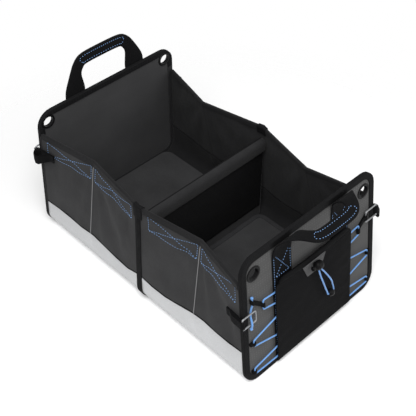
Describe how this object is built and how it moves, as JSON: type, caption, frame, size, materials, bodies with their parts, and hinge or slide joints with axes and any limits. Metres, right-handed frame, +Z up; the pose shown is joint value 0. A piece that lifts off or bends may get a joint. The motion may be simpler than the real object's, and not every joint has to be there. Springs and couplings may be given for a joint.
{
  "type": "folding car storage box",
  "caption": "Open-topped folding car storage box of charcoal cloth with a divider, webbing handles and a blue laced front pocket.",
  "frame": {"origin": "on the ground under the middle of the base, midway between the outer faces of the two end panel bindings at ground level", "axes": "+X along the box from the rear end panel to the front end panel with the laced pocket, +Y to the box's right hand side as seen by someone facing the pocket, +Z up"},
  "size_m": [0.6036, 0.3795, 0.3508],
  "materials": {
    "wall_cloth": "charcoal twill, matt",
    "panel_cloth": "grey ripstop, matt",
    "binding_cloth": "black woven tape, matt",
    "tub_cloth": "pale grey coated cloth, satin",
    "board_cloth": "dark cloth over stiff board, matt",
    "mesh_cloth": "black mesh, matt",
    "hem_cloth": "dark padded cloth, matt",
    "pocket_cloth": "black stretch cloth, matt",
    "webbing": "black woven webbing, matt",
    "elastic_cord": "light blue braided elastic, satin",
    "black_plastic": "black moulded plastic, satin",
    "wire": "light grey metal wire, satin"
  },
  "bodies": {
    "box": {"rear_panel": "panel_cloth", "rear_panel_binding": "binding_cloth", "rear_grommet_left": "black_plastic", "rear_grommet_right": "black_plastic", "rear_handle_webbing": "webbing", "corner_strap_rear_left": "webbing", "corner_strap_rear_right": "webbing", "front_panel": "panel_cloth", "front_panel_binding": "binding_cloth", "front_grommet_left": "black_plastic", "front_grommet_right": "black_plastic", "front_handle_webbing": "webbing", "pocket": "pocket_cloth", "pocket_hem": "pocket_cloth", "pocket_tab": "panel_cloth", "lacing_left": "elastic_cord", "lacing_keeper_left_upper": "webbing", "lacing_keeper_left_lower": "webbing", "lacing_right": "elastic_cord", "lacing_keeper_right_upper": "webbing", "lacing_keeper_right_lower": "webbing", "corner_link_front_right": "wire", "corner_strap_front_right": "webbing", "corner_link_front_left": "wire", "corner_strap_front_left": "webbing", "tension_strap_right": "webbing", "tension_strap_left": "webbing", "tie_cord_left": "elastic_cord", "cord_lock_body": "black_plastic", "cord_bead": "black_plastic", "drawcord": "elastic_cord", "base_tub": "tub_cloth", "side_wall_left_rear": "wall_cloth", "side_wall_left_front": "wall_cloth", "side_wall_right_rear": "wall_cloth", "side_wall_right_front": "wall_cloth", "wall_rim_left": "binding_cloth", "wall_rim_right": "binding_cloth", "centre_seam_left": "binding_cloth", "centre_seam_right": "binding_cloth", "rear_floor_board": "board_cloth", "front_floor_board": "board_cloth", "front_floor_board_binding": "binding_cloth", "divider": "mesh_cloth", "divider_hem": "hem_cloth", "divider_mesh_pocket": "mesh_cloth"},
    "lock_button": {"cord_lock_button": "black_plastic"},
    "left_link": {"corner_link_rear_left": "wire"},
    "right_link": {"corner_link_rear_right": "wire"}
  },
  "joints": [
    {"name": "lock_button_press", "type": "slide", "parent": "box", "child": "lock_button", "axis": [0, 1, 0], "range_m": [0, 0.003], "stiffness_N_per_m": 500},
    {"name": "left_link_swing", "type": "hinge", "parent": "box", "child": "left_link", "pos_m": [-0.27701, -0.174, 0.19118], "axis": [0.0251, 0, 0.9997], "range_deg": [0, 100]},
    {"name": "right_link_swing", "type": "hinge", "parent": "box", "child": "right_link", "pos_m": [-0.27701, 0.174, 0.19118], "axis": [-0.0251, 0, -0.9997], "range_deg": [0, 100]}
  ]
}
